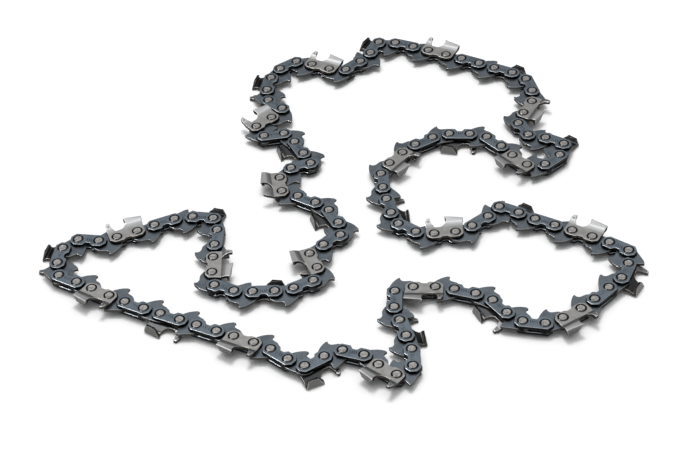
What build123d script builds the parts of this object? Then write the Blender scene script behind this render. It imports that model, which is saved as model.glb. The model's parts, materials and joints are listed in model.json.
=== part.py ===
"""A loop of saw chain, 3/8 inch pitch, lying on its side as it was put down.

Each pitch of the loop is one drive link and one pair of side plates, hung on two rivets.
Every second pair has a cutter for one of its plates: left-hand cutters lie on top,
right-hand cutters underneath. X and Y are the bench, +Z is up and the loop rests on Z = 0.

A link is drawn in its own frame: the rear rivet is at the origin, +X points the way the
chain runs, +Y points into the loop, and Z = 0 is the middle of the drive link.
Heights of a cutter are measured outwards from the rivet line, along -Y.
"""
from build123d import *
import cmath
import math
import os

# The chain
PITCHES = 68                    # drive links in the loop, a multiple of four
STRAP_SPACING = 10.2            # rivet to rivet in a tie strap or a cutter
DRIVE_SPACING = 8.85            # rivet to rivet in a drive link
GAUGE = 1.5                     # thickness of a drive link
PLATE = 1.6                     # thickness of a tie strap or a cutter's foot
SIDE_PLAY = 0.05                # drive link to side plate, each side

# Rivets
RIVET_DIAMETER = 5.0
HEAD_HEIGHT = 0.3               # how far a rivet stands out of the side plates
BORE_PLAY = 0.05                # radial, rivet to drive link, which turns on it
HUB_PLAY = 0.02                 # radial, rivet to side plate, which is spun tight

# Tie straps
STRAP_HEIGHT = 7.4              # across the eight-sided ends
WAIST_DEPTH = 1.7               # notch in the edge towards the guide bar
WAIST_FLOOR = 2.2
WAIST_MOUTH = 4.8
REAR_FACETS = (112.5, 157.5, 202.5, 247.5)   # degrees, corners of the eight-sided rear end
FRONT_FACETS = (292.5, 337.5, 22.5, 67.5)

# Drive links
DRIVE_END_RADIUS = 3.9          # round end about the rear rivet
NOSE_RADIUS = 4.2               # round end about the front rivet
TANG_DEPTH = 9.2                # rivet line to the tip of the tang
TANG_TIP = 5.3                  # tip, ahead of the rear rivet
TANG_CROWN = 1.1                # short flat behind the tip
TANG_ROOT = 125                 # degrees round the rear end to where the tang's rear edge starts
TANG_BULGE = 0.75               # rise of that edge over its chord
NOTCH_DEPTH = 2.9               # tip down to the floor of the notch in front of it
NOTCH_WIDTH = 1.5
NOTCH_HOLLOW = 0.8              # how far the notch undercuts the tip, from its chord
SHOULDER_DROP = 0.5             # fall of the shoulder from the notch to its front corner
SHOULDER_FRONT = 0.2            # that corner, ahead of the front rivet
SHOULDER_BULGE = 0.75           # rise of the front edge over its chord, corner to round end
GUARD_HEIGHT = 7.6              # rivet line to the top of a guard link's ramp
GUARD_STEP = 1.7                # steep rear face of the ramp, ahead of the rear rivet
GUARD_CREST = 2.3               # length of the top of the ramp
GUARD_FALL = 0.6                # fall along the top of the ramp
GUARD_TOE = 40                  # degrees round the front end to where the ramp leaves it

# Cutters
CUTTER_HEIGHT = 10.0            # rivet line to the cutting corner
CUTTER_REACH = 4.0              # middle of the chain to the cutting corner
CUTTER_FRONT = 4.3              # cutting corner, ahead of the rear rivet
CUTTER_HEEL = 4.4               # rear end of the top plate, behind the rear rivet
BEND_HEIGHT = 4.2               # floor of the gullet, where the plate starts to step out
SET_HEIGHT = 6.6                # height where it has stepped out
SET_OUT = 1.0                   # how far it steps out there; above that it leans less
HEEL_FALL = 1.3                 # top plate's fall from the cutting corner to the heel
HEEL_TAPER = 0.5                # how much narrower the top plate is at the heel
HEEL_TUCK = 0.5                 # heel's lower corner, ahead of its upper one
TOP_PLATE = 1.2                 # thickness of the top plate
TOP_OVERHANG = 0.4              # top plate's inner edge, past the middle of the chain
TOP_DROOP = 0.6                 # fall of the top plate towards its inner edge
TOP_ANGLE = 30                  # degrees, slant of the cutting edge across the chain
GULLET_FLOOR = 2.7              # length of the gullet's floor
GULLET_RUN = 2.7                # from the cutting corner forward to the floor
GULLET_HOLLOW = 1.6             # sag of the gullet's rear wall, from its chord
GAUGE_DROP = 0.8               # depth gauge below the cutting corner
GAUGE_FRONT = 3.5               # front of the depth gauge, ahead of the front rivet
GAUGE_LENGTH = 2.3              # depth gauge, along the chain
GAUGE_TIP = 1.5                 # flat top of the depth gauge
GAUGE_BROW = 1.9                # height of the slope in front of that top
GAUGE_HOLLOW = 0.5              # sag of the depth gauge's rear wall, from its chord

# Runs: four stretches of the loop that swing on the rivets between them, each with the
# number of its last pair of side plates. The first run starts again after the last one.
RUNS = (("front_run", 28), ("right_run", 35), ("back_run", 55), ("left_run", 64))

# The lay: points that the rivet line passes through, in order of running
LAY_POINTS = (
    (-97, -16), (-115, -21), (-125, -19), (-132, -24), (-133, -43), (-125, -48), (-101, -64),
    (-68, -82), (-35, -100), (-20, -112), (-11, -107), (-2, -104), (7, -108), (20, -121),
    (28, -116), (28, -106), (24, -88), (22, -70), (31, -67), (50, -70), (66, -78), (72, -87),
    (78, -93), (88, -96), (106, -88), (120, -76), (127, -70), (133, -52), (125, -46),
    (92, -26), (76, -16), (70, -23), (53, -32), (34, -29), (27, -22), (23, -3), (22, 15),
    (27, 22), (41, 35), (58, 41), (77, 36), (83, 28), (94, 13), (103, 13), (111, 20),
    (113, 29), (96, 37), (93, 47), (102, 63), (101, 81), (86, 92), (62, 106), (27, 121),
    (22, 112), (8, 99), (-1, 101), (-18, 109), (-31, 96), (-32, 76), (-25, 69), (-39, 57),
    (-35, 49), (-25, 50), (-16, 34), (-12, 26), (-22, 23), (-28, 16), (-28, 7), (-20, 2),
    (-5, -10), (0, -28), (-8, -34), (-15, -39), (-12, -49), (-13, -57), (-22, -62),
    (-41, -63), (-59, -58), (-61, -49), (-60, -30), (-60, -11), (-79, -9),
)
LAY_STEPS = 16                  # straight steps from one lay point to the next
HALVINGS = 50                   # halvings in a search by bisection

# Worked out from the sizes above
HALF_STRAP = STRAP_HEIGHT / 2
CORNER_RADIUS = HALF_STRAP / math.cos(math.pi / 8)
PLATE_INNER = GAUGE / 2 + SIDE_PLAY
PLATE_OUTER = PLATE_INNER + PLATE
RIVET_RADIUS = RIVET_DIAMETER / 2
RIVET_LENGTH = 2 * (PLATE_OUTER + HEAD_HEIGHT)
GAUGE_HEIGHT = CUTTER_HEIGHT - GAUGE_DROP
SET_INNER = PLATE_INNER + SET_OUT
SET_OUTER = PLATE_OUTER + SET_OUT
GAUGE_LEAN = (CUTTER_REACH - SET_OUTER) * (GAUGE_HEIGHT - SET_HEIGHT) / (CUTTER_HEIGHT - SET_HEIGHT)
MIDDLE = CUTTER_REACH           # the right-hand cutters' corners touch the bench
CLEAR = 2 * (CUTTER_HEIGHT + STRAP_SPACING)  # longer than any link, for cuts right through


def between(a, b, ta, tb, u):
    """The point at u on the straight line from a at ta to b at tb."""
    return a * ((tb - u) / (tb - ta)) + b * ((u - ta) / (tb - ta))


def curve_point(p, t, u):
    """A point between p[1] and p[2] of a Catmull-Rom curve through four points."""
    first = [between(p[i], p[i + 1], t[i], t[i + 1], u) for i in range(3)]
    second = [between(first[i], first[i + 1], t[i], t[i + 2], u) for i in range(2)]
    return between(second[0], second[1], t[1], t[2], u)


def lay_line():
    """The closed lay line, as plan points x + yj in short straight steps."""
    points = [complex(x, y) for x, y in LAY_POINTS]
    line = []
    for i in range(len(points)):
        p = [points[(i + j - 1) % len(points)] for j in range(4)]
        t = [0.0]
        for a, b in zip(p, p[1:]):
            t.append(t[-1] + math.sqrt(abs(b - a)))
        line += [curve_point(p, t, t[1] + (t[2] - t[1]) * s / LAY_STEPS) for s in range(LAY_STEPS)]
    return line


def step_along(line, here, k, reach):
    """The next point of the line that lies reach away from here, and the step it is in."""
    while abs(line[(k + 1) % len(line)] - here) < reach:
        k += 1
    near, far = line[k % len(line)], line[(k + 1) % len(line)]
    low, high = 0.0, 1.0
    for _ in range(HALVINGS):
        share = (low + high) / 2
        if abs(near + (far - near) * share - here) < reach:
            low = share
        else:
            high = share
    return near + (far - near) * high, k, k + high


def walk(line):
    """Rivet places laid along the line, and how many times round it the last one lies."""
    here, k, travelled = line[0], 0, 0.0
    rivets = [here]
    for i in range(2 * PITCHES):
        reach = DRIVE_SPACING if i % 2 else STRAP_SPACING
        here, k, travelled = step_along(line, here, k, reach)
        rivets.append(here)
    return rivets[:-1], travelled / len(line)


def lay_rivets():
    """The rivets' places in plan: the lay line is scaled until the loop closes on itself."""
    line = lay_line()
    low, high = 0.5, 2.0
    for _ in range(HALVINGS):
        scale = (low + high) / 2
        if walk([p * scale for p in line])[1] > 1:
            low = scale
        else:
            high = scale
    return walk([p * high for p in line])[0]


def plate(outline, thickness, spacing, hole_radius):
    """A flat plate of that outline, centred on Z = 0, with a hole for each of its two rivets."""
    body = extrude(make_face(outline), thickness / 2, both=True)
    for x in (0, spacing):
        body -= Pos(x, 0, 0) * Cylinder(hole_radius, CLEAR)
    return body


def outline_of(*curves):
    """The edges of a closed outline, from the curves that make it up in order."""
    return [edge for curve in curves for edge in curve.edges()]


def facet(x, degrees):
    """A corner of the eight-sided end about the rivet at x."""
    return (x + CORNER_RADIUS * math.cos(math.radians(degrees)),
            CORNER_RADIUS * math.sin(math.radians(degrees)))


def waist():
    """The notch in the middle of a side plate's edge towards the guide bar, front to rear."""
    middle = STRAP_SPACING / 2
    return [(middle + WAIST_MOUTH / 2, HALF_STRAP),
            (middle + WAIST_FLOOR / 2, HALF_STRAP - WAIST_DEPTH),
            (middle - WAIST_FLOOR / 2, HALF_STRAP - WAIST_DEPTH),
            (middle - WAIST_MOUTH / 2, HALF_STRAP)]


def tie_strap():
    """A side plate with a straight outer edge and a waist towards the guide bar."""
    rear = [facet(0, degrees) for degrees in REAR_FACETS]
    front = [facet(STRAP_SPACING, degrees) for degrees in FRONT_FACETS]
    outline = Polyline(*rear, *front, *waist(), close=True)
    strap = plate(outline, PLATE, STRAP_SPACING, RIVET_RADIUS + HUB_PLAY)
    return Pos(0, 0, PLATE_INNER + PLATE / 2) * strap


def drive_link(guard):
    """A drive link: a tang for the bar's groove and, on a guard link, a ramp outside."""
    back = Vector(0, -DRIVE_END_RADIUS)
    root = Vector(DRIVE_END_RADIUS, 0).rotate(Axis.Z, TANG_ROOT)
    tip = Vector(TANG_TIP, TANG_DEPTH)
    crown = tip - Vector(TANG_CROWN, 0)
    notch = tip + Vector(NOTCH_WIDTH, -NOTCH_DEPTH)
    shoulder = Vector(DRIVE_SPACING + SHOULDER_FRONT, notch.Y - SHOULDER_DROP)
    nose = CenterArc((DRIVE_SPACING, 0), NOSE_RADIUS, 0, -GUARD_TOE if guard else -90)
    outer = [nose @ 1, back]
    if guard:
        crest = Vector(GUARD_STEP + GUARD_CREST, GUARD_FALL - GUARD_HEIGHT)
        outer[1:1] = [crest, (GUARD_STEP, -GUARD_HEIGHT), (GUARD_STEP, back.Y)]
    outline = outline_of(
        ThreePointArc(back, (-DRIVE_END_RADIUS, 0), root),
        SagittaArc(root, crown, TANG_BULGE),
        Line(crown, tip),
        SagittaArc(tip, notch, -NOTCH_HOLLOW),
        Line(notch, shoulder),
        SagittaArc(shoulder, nose @ 0, SHOULDER_BULGE),
        nose,
        Polyline(*outer),
    )
    return plate(outline, GAUGE, DRIVE_SPACING, RIVET_RADIUS + BORE_PLAY)


def cutter_outline():
    """A cutter seen square on its foot: heel, top plate, gullet, depth gauge and foot."""
    heel_top = (-CUTTER_HEEL, HEEL_FALL - CUTTER_HEIGHT)
    heel_low = (HEEL_TUCK - CUTTER_HEEL, -BEND_HEIGHT)
    corner = Vector(CUTTER_FRONT, -CUTTER_HEIGHT)
    floor_rear = Vector(CUTTER_FRONT + GULLET_RUN, -BEND_HEIGHT)
    floor_front = floor_rear + Vector(GULLET_FLOOR, 0)
    tip_rear = Vector(STRAP_SPACING + GAUGE_FRONT - GAUGE_LENGTH, -GAUGE_HEIGHT)
    tip_front = tip_rear + Vector(GAUGE_TIP, 0)
    brow = Vector(STRAP_SPACING + GAUGE_FRONT, GAUGE_BROW - GAUGE_HEIGHT)
    front = [facet(STRAP_SPACING, degrees) for degrees in FRONT_FACETS[1:]]
    rear = [facet(0, degrees) for degrees in REAR_FACETS[:-1]]
    return outline_of(
        Polyline(*rear, heel_low, heel_top, corner),
        SagittaArc(corner, floor_rear, -GULLET_HOLLOW),
        Line(floor_rear, floor_front),
        SagittaArc(floor_front, tip_rear, -GAUGE_HOLLOW),
        Polyline(tip_rear, tip_front, brow, *front, *waist(), rear[0]),
    )


def section(x, points):
    """A closed outline across the chain at x, from (reach, height) points."""
    return make_face(Polyline(*[(x, -height, reach) for reach, height in points], close=True))


def blade_section(x):
    """A cutter's rear half across the chain at x: foot, stepped-out side plate and top plate."""
    back = (CUTTER_FRONT - x) / (CUTTER_FRONT + CUTTER_HEEL)
    reach = CUTTER_REACH - back * HEEL_TAPER
    height = CUTTER_HEIGHT - back * HEEL_FALL
    under = height - TOP_PLATE
    lean = (reach - SET_OUTER) / (height - SET_HEIGHT)
    return section(x, [
        (PLATE_INNER, -STRAP_HEIGHT), (PLATE_OUTER, -STRAP_HEIGHT), (PLATE_OUTER, BEND_HEIGHT),
        (SET_OUTER, SET_HEIGHT), (reach, height), (-TOP_OVERHANG, height - TOP_DROOP),
        (-TOP_OVERHANG, under - TOP_DROOP), (SET_INNER + lean * (under - SET_HEIGHT), under),
        (SET_INNER, SET_HEIGHT), (PLATE_INNER, BEND_HEIGHT)])


def gauge_section(x):
    """A cutter's front half across the chain at x: foot and stepped-out depth gauge."""
    return section(x, [
        (PLATE_INNER, -STRAP_HEIGHT), (PLATE_OUTER, -STRAP_HEIGHT), (PLATE_OUTER, BEND_HEIGHT),
        (SET_OUTER, SET_HEIGHT), (SET_OUTER + GAUGE_LEAN, GAUGE_HEIGHT),
        (SET_INNER + GAUGE_LEAN, GAUGE_HEIGHT), (SET_INNER, SET_HEIGHT), (PLATE_INNER, BEND_HEIGHT)])


def edge_cut():
    """What is filed off the front of the top plate to leave its slanted cutting edge."""
    slant = math.tan(math.radians(TOP_ANGLE))
    under = TOP_PLATE + TOP_DROOP - CUTTER_HEIGHT
    plan = Polyline(
        (CUTTER_FRONT, under, CUTTER_REACH),
        (CUTTER_FRONT + CLEAR, under, CUTTER_REACH),
        (CUTTER_FRONT + CLEAR, under, CUTTER_REACH - CLEAR),
        (CUTTER_FRONT - CLEAR * slant, under, CUTTER_REACH - CLEAR), close=True)
    return extrude(make_face(plan), CLEAR, dir=(0, -1, 0))


def left_cutter():
    """A left-hand cutter: one plate, cut to its outline and bent across the chain."""
    middle = CUTTER_FRONT + GULLET_RUN
    front = STRAP_SPACING + GAUGE_FRONT
    blade = loft([blade_section(middle), blade_section(-CUTTER_HEEL)], ruled=True) - edge_cut()
    gauge = extrude(gauge_section(middle), front - middle, dir=(1, 0, 0))
    cutter = (blade + gauge) & extrude(make_face(cutter_outline()), CLEAR, both=True)
    for x in (0, STRAP_SPACING):
        cutter -= Pos(x, 0, 0) * Cylinder(RIVET_RADIUS + HUB_PLAY, CLEAR)
    return cutter


def placed(link, rivets, first):
    """A copy of a link hung on two rivets in a row."""
    rear, front = rivets[first], rivets[(first + 1) % len(rivets)]
    turn = math.degrees(cmath.phase(front - rear))
    return Pos(rear.real, rear.imag, MIDDLE) * Rot(0, 0, turn) * link


def run_of(pair):
    """The run that a pair of side plates is in. What follows the last run is in the first."""
    for name, last in RUNS:
        if pair % PITCHES <= last:
            return name
    return RUNS[0][0]


def chain():
    """Every piece of the loop, as lists of solids by the name of their node."""
    rivets = lay_rivets()
    rivet = Cylinder(RIVET_RADIUS, RIVET_LENGTH)
    strap, lower_strap = tie_strap(), mirror(tie_strap(), about=Plane.XY)
    left, right = left_cutter(), mirror(left_cutter(), about=Plane.XY)
    drive_links = (drive_link(guard=True), drive_link(guard=False))
    drive_names = ("guard_links", "drive_links")
    nodes = {}

    def add(name, piece):
        nodes.setdefault(name, []).append(piece)

    for pair in range(PITCHES):
        run, next_run = run_of(pair), run_of(pair + 1)
        number = pair // 4 + 1
        upper_name, upper = f"{run}_upper_straps", strap
        lower_name, lower = f"{run}_lower_straps", lower_strap
        if pair % 4 == 0:
            upper_name, upper = f"left_cutter_{number:02d}", left
        if pair % 4 == 2:
            lower_name, lower = f"right_cutter_{number:02d}", right
        add(upper_name, placed(upper, rivets, 2 * pair))
        add(lower_name, placed(lower, rivets, 2 * pair))
        add(f"{run}_rivets", placed(rivet, rivets, 2 * pair))
        add(f"{run}_rivets", placed(rivet, rivets, 2 * pair + 1))
        add(f"{next_run}_{drive_names[pair % 2]}", placed(drive_links[pair % 2], rivets, 2 * pair + 1))
    return nodes


def main():
    """Writes one file for each node, with the origin under the middle of the loop."""
    nodes = chain()
    box = Compound([piece for pieces in nodes.values() for piece in pieces]).bounding_box()
    shift = Pos(-box.center().X, -box.center().Y, -box.min.Z)
    os.makedirs("parts", exist_ok=True)
    for name, pieces in nodes.items():
        export_step(shift * Compound(pieces, label=name), f"parts/{name}.step")


if __name__ == "__main__":
    main()
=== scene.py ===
"""Looks for a loop of saw chain that lies on a white bench.

Each kind of link is modelled once, in metres, in its own frame: the rear rivet is at the origin,
+X points the way the chain runs, +Y points into the loop, and Z = 0 is the middle of the chain.
Copies are then hung on the rivets that the packed frame holds.
"""

import json
import math

import bmesh
import bpy
import numpy as np
from bpy.props import FloatProperty, FloatVectorProperty, IntProperty, PointerProperty
from mathutils import Matrix, Vector

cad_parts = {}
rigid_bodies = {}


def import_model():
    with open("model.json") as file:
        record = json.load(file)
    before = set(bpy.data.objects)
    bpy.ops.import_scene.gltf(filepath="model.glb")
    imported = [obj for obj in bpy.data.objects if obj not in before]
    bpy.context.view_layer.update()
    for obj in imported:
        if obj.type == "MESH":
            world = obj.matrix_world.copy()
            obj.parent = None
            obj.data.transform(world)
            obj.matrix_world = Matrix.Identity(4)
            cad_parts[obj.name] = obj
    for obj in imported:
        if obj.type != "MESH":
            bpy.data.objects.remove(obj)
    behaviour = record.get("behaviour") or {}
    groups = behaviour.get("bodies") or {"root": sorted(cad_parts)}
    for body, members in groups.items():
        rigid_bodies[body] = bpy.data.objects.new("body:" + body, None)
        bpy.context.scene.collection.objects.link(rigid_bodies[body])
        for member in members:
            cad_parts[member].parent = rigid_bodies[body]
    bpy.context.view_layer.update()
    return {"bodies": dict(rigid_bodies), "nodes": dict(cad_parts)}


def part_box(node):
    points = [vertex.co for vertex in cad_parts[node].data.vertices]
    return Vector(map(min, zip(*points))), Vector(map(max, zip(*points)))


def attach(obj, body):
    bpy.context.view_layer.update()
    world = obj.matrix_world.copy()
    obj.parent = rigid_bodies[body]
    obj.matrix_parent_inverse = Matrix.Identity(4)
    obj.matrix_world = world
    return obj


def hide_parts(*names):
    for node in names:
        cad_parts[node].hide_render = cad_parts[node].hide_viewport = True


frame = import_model()

bl_info = {
    "name": "Saw chain loop",
    "version": (1, 0, 0),
    "blender": (4, 5, 0),
    "location": "View3D > Sidebar > Saw chain",
    "description": "Links, cutters and rivets for a loop of saw chain, with a white bench to lie on",
    "category": "Object",
}

MM = 0.001
RUN_NAMES = tuple(frame["bodies"])


# Settings

def length(millimetres, name, description):
    """A length, which the sidebar shows in the scene's unit."""
    return FloatProperty(name=name, description=description, default=millimetres * MM, unit="LENGTH")


def angle(degrees, name, description):
    """An angle, which the sidebar shows in degrees."""
    return FloatProperty(
        name=name, description=description, default=math.radians(degrees), subtype="ANGLE")


def colour(red_green_blue, name, description):
    """A colour, with a colour field in the sidebar."""
    return FloatVectorProperty(
        name=name, description=description, default=red_green_blue, subtype="COLOR", min=0, max=1)


class PlateSizes(bpy.types.PropertyGroup):
    """Sizes that all the plates of the chain share, and those of a tie strap."""
    strap_spacing: length(10.2, "Strap spacing", "Rivet to rivet in a tie strap or a cutter")
    drive_spacing: length(8.85, "Drive spacing", "Rivet to rivet in a drive link")
    gauge: length(1.5, "Gauge", "Thickness of a drive link")
    plate: length(1.6, "Plate", "Thickness of a tie strap or a cutter")
    side_play: length(0.05, "Side play", "Gap from a drive link to a side plate")
    hole: length(2.52, "Hole", "Radius of the rivet holes")
    height: length(7.4, "Strap height", "Width of a tie strap across its eight-sided ends")
    corner: length(0.55, "Corner", "Rounding of a side plate's corners")
    waist_depth: length(1.7, "Waist depth", "Notch in a side plate's inner edge")
    waist_floor: length(2.2, "Waist floor", "Length of that notch's floor")
    waist_mouth: length(4.8, "Waist mouth", "Length of that notch's mouth")
    rim: length(0.24, "Rim", "Rounded rim of a tie strap")
    hole_rim: length(0.12, "Hole rim", "Rounded rim of a rivet hole")


class DriveSizes(bpy.types.PropertyGroup):
    """Sizes of a drive link."""
    end_radius: length(3.9, "Rear end", "Round end about the rear rivet")
    nose_radius: length(4.2, "Front end", "Round end about the front rivet")
    tang_depth: length(9.2, "Tang depth", "Rivet line to the tip of the tang")
    tang_tip: length(5.3, "Tang tip", "Tip, ahead of the rear rivet")
    tang_crown: length(1.1, "Tang crown", "Short flat behind the tip")
    tang_root: angle(125, "Tang root", "Where the tang leaves the rear end")
    tang_bulge: length(0.75, "Tang bulge", "Rise of the tang's rear edge over its chord")
    notch_depth: length(2.9, "Notch depth", "Tip down to the notch in front of it")
    notch_width: length(1.5, "Notch width", "Tip forward to the notch's floor")
    notch_hollow: length(0.8, "Notch hollow", "How far the notch undercuts the tip")
    shoulder_drop: length(0.5, "Shoulder drop", "Fall of the shoulder in front of the notch")
    shoulder_front: length(0.2, "Shoulder front", "Shoulder's corner, ahead of the front rivet")
    shoulder_bulge: length(0.75, "Shoulder bulge", "Rise of the front edge over its chord")
    guard_height: length(7.6, "Guard height", "Rivet line to the top of a guard link's ramp")
    guard_step: length(1.7, "Guard step", "Steep rear face of the ramp, ahead of the rear rivet")
    guard_crest: length(2.3, "Guard crest", "Length of the top of the ramp")
    guard_fall: length(0.6, "Guard fall", "Fall along the top of the ramp")
    guard_toe: angle(40, "Guard toe", "Where the ramp leaves the front end")
    guard_corner: length(0.5, "Guard corner", "Rounding of the ramp's corners")
    rim: length(0.144, "Rim", "Rounded rim of a drive link")


class CutterSizes(bpy.types.PropertyGroup):
    """Sizes of a cutter, a plate that is stamped flat, stepped out and bent over the chain."""
    foot_edge: length(3.25, "Foot edge", "Rivet line to the foot's inner edge")
    waist_depth: length(0.95, "Waist depth", "Notch in the foot's inner edge")
    foot_corner: length(1.2, "Foot corner", "Rounding of the foot's corners")
    height: length(10.0, "Height", "Rivet line to the cutting corner")
    reach: length(4.0, "Reach", "Middle of the chain to the cutting corner")
    front: length(4.3, "Front", "Cutting corner, ahead of the rear rivet")
    heel: length(4.4, "Heel", "Rear end of the top plate, behind the rear rivet")
    bend_height: length(4.2, "Bend height", "Where the plate starts to step out")
    set_height: length(6.6, "Set height", "Where the plate has stepped out")
    set_out: length(1.0, "Set out", "How far the plate steps out there")
    bend_radius: length(0.8, "Bend radius", "Radius of the bends of that step")
    corner_radius: length(0.3, "Corner radius", "Outer radius of the bend into the top plate")
    inner_radius: length(0.45, "Inner radius", "Inner radius of that bend")
    heel_fall: length(1.3, "Heel fall", "Fall of the top plate towards its heel")
    heel_taper: length(0.5, "Heel taper", "How much narrower the top plate is at its heel")
    heel_tuck: length(0.5, "Heel tuck", "Heel's lower corner, ahead of its upper one")
    heel_slant: length(1.3, "Heel slant", "Inner end of the top plate's heel, ahead of its outer end")
    top_plate: length(1.2, "Top plate", "Thickness of the top plate")
    top_overhang: length(0.8, "Top overhang", "Inner edge of the top plate, past the middle of the chain")
    top_droop: length(0.6, "Top droop", "Fall of the top plate towards its inner edge")
    top_angle: angle(30, "Top angle", "Slant of the cutting edge")
    gullet_floor: length(2.7, "Gullet floor", "Length of the gullet's floor")
    gullet_run: length(2.7, "Gullet run", "Cutting corner forward to that floor")
    gullet_hollow: length(1.6, "Gullet hollow", "Sag of the gullet's rear wall")
    gauge_height: length(9.2, "Gauge height", "Rivet line to the top of the depth gauge")
    gauge_front: length(3.5, "Gauge front", "Front of the depth gauge, ahead of the front rivet")
    gauge_length: length(2.3, "Gauge length", "Depth gauge along the chain")
    gauge_tip: length(1.5, "Gauge tip", "Flat top of the depth gauge")
    gauge_brow: length(1.9, "Gauge brow", "Slope in front of that top")
    gauge_hollow: length(0.5, "Gauge hollow", "Sag of the depth gauge's rear wall")
    rim: length(0.192, "Rim", "Rounded rim of a cutter")


class RivetSizes(bpy.types.PropertyGroup):
    """Sizes of a rivet, the same at both ends."""
    shank: length(2.48, "Shank", "Radius in the plates")
    flat: length(1.78, "Head flat", "Radius of the head's flat top")
    head: length(0.3, "Head height", "How far the head stands out")
    groove: length(0.2, "Groove", "Depth of the ring round the head, below its plate")
    edge: length(0.08, "Head edge", "Softness of the edge of that flat top")
    dish: length(0.05, "Head dish", "Hollow of the head's flat top")
    sides: IntProperty(name="Sides", description="Steps round a rivet", default=28, min=8)


class FinishColours(bpy.types.PropertyGroup):
    """Colours of the metal."""
    strap_face: colour((0.158, 0.190, 0.222), "Strap face", "Blued steel of the straps")
    strap_dark: colour((0.092, 0.116, 0.142), "Strap dark", "Oily patches of the straps")
    # Partly painted shade: the straps' sheared sides are made near black, for their oxide and for the
    # shade that falls on them.
    strap_side: colour((0.008, 0.008, 0.0085), "Strap side", "Sheared sides of the straps")
    drive_face: colour((0.138, 0.160, 0.182), "Drive face", "Blued steel of the drive links")
    drive_dark: colour((0.080, 0.096, 0.114), "Drive dark", "Oily patches of the drive links")
    drive_side: colour((0.070, 0.066, 0.060), "Drive side", "Sheared sides of the drive links")
    # Partly painted highlight: the rims are lighter than wear alone makes them, for light caught on them;
    # the same colour makes the grain's light specks.
    link_rim: colour((0.50, 0.52, 0.54), "Link rim", "Worn rims of straps and drive links")
    cutter_face: colour((0.350, 0.347, 0.341), "Cutter face", "Satin plate of the cutters' feet")
    cutter_step: colour((0.225, 0.23, 0.235), "Cutter step", "Smoother plate where a cutter steps out")
    # Partly painted highlight: the grinding lines are lighter than the plate, and the same colour paints
    # the light strip inside a cutter.
    cutter_ground: colour((0.50, 0.50, 0.505), "Cutter ground", "Grinding lines on the side plates")
    # Partly painted shade: the top plates are made darker than their dull finish, for the shade they
    # face.
    cutter_top: colour((0.105, 0.102, 0.099), "Cutter top", "Duller top plates")
    # Partly painted highlight: bright rims stand for wear and for light caught on the cutters' edges.
    cutter_rim: colour((0.70, 0.70, 0.69), "Cutter rim", "Bright rims of the cutters")
    cutter_side: colour((0.075, 0.066, 0.058), "Cutter side", "Sheared sides of the cutters")
    # Painted shade: the inner faces are made near black, for the shade under the chain.
    cutter_inside: colour(
        (0.048, 0.049, 0.051), "Cutter inside", "Inner faces of the cutters, which have no plating")
    # Painted shade: the inner edges of the top plates are made near black.
    cutter_lip: colour((0.022, 0.022, 0.023), "Cutter lip", "Inner edges of the top plates")
    rivet_face: colour((0.42, 0.41, 0.40), "Rivet face", "Flat tops of the rivets")
    rivet_dark: colour((0.17, 0.163, 0.157), "Rivet dark", "Dull patches on those tops")
    # Partly painted shade: this dark stands for oil and for the shade round the rivets, in the rivets'
    # grooves and along the straps' edges on the drive links; in the stamped strokes it is oil.
    oil: colour(
        (0.006, 0.006, 0.0065), "Oil", "Oil in the rings round the rivets and in the stamped strokes")


class StageSettings(bpy.types.PropertyGroup):
    """Bench, light and camera."""
    camera: FloatVectorProperty(
        name="Camera", description="Where the camera stands",
        default=(1.34 * MM, -689.38 * MM, 612.78 * MM), subtype="TRANSLATION", unit="LENGTH")
    elevation: angle(42.27, "Elevation", "How far down the camera looks")
    roll: angle(3.86, "Roll", "Tilt of the camera, clockwise")
    lens: FloatProperty(
        name="Lens", description="Focal length on a 36 mm sensor, in millimetres", default=99.8,
        unit="CAMERA")
    bench: colour((0.88, 0.88, 0.88), "Bench", "Colour of the bench")
    bench_lift: FloatProperty(
        name="Bench lift", description="What the camera sees of the bench beyond its lit colour",
        default=0.03)
    sky: FloatProperty(name="Sky", description="Light from above", default=2.3)
    sky_tilt: angle(8, "Sky tilt", "How far the middle of that light lies behind the loop")
    sky_fall: FloatProperty(
        name="Sky fall", description="How fast that light falls off towards the sides", default=4.5)
    horizon: FloatProperty(name="Horizon", description="Light from the sides", default=0.08)
    key: FloatVectorProperty(
        name="Key light", description="Where the lamp above the loop hangs",
        default=(0.0, 0.16, 1.1), subtype="TRANSLATION", unit="LENGTH")
    key_power: FloatProperty(
        name="Key power", description="Power of that lamp, in watts", default=5.5, unit="POWER")
    key_size: FloatProperty(
        name="Key size", description="Width of that lamp", default=0.3, unit="LENGTH")
    rim: FloatVectorProperty(
        name="Rim light", description="Where the lamp at the left stands, which shows only as glints",
        default=(-1.0, 0.1, 1.5), subtype="TRANSLATION", unit="LENGTH")
    rim_power: FloatProperty(
        name="Rim power", description="Power of that lamp, in watts", default=18.0, unit="POWER")
    rim_size: FloatProperty(
        name="Rim size", description="Width of that lamp", default=0.5, unit="LENGTH")


# Outlines

EDGE_SHARE = 0.45               # how much of an edge the rounding of one corner may take
ROUND_STEPS = 3                 # steps in a rounded corner or rim
HOLE_STEPS = 26                 # steps round a rivet hole
REAR_FACETS = (112.5, 157.5, 202.5, 247.5)      # corners of a strap's eight-sided ends, in degrees
FRONT_FACETS = (292.5, 337.5, 22.5, 67.5)
GUARD_LEAN = 0.1                # lean of a guard ramp's rear face where it rounds off, by its step
STEP, KNEE, UNDER, CORNER, LIP = 1, 4, 5, 6, 7  # marks on a cutter's flat plate, from its foot up


def arc(centre, radius, start, end, steps):
    """Points on an arc about centre, from one angle to another."""
    angles = [start + (end - start) * i / steps for i in range(steps + 1)]
    return [Vector((centre[0] + radius * math.cos(a), centre[1] + radius * math.sin(a))) for a in angles]


def circle(x, radius, steps):
    """Points round the rivet at x."""
    return arc((x, 0), radius, 0, math.tau * (1 - 1 / steps), steps - 1)


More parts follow.
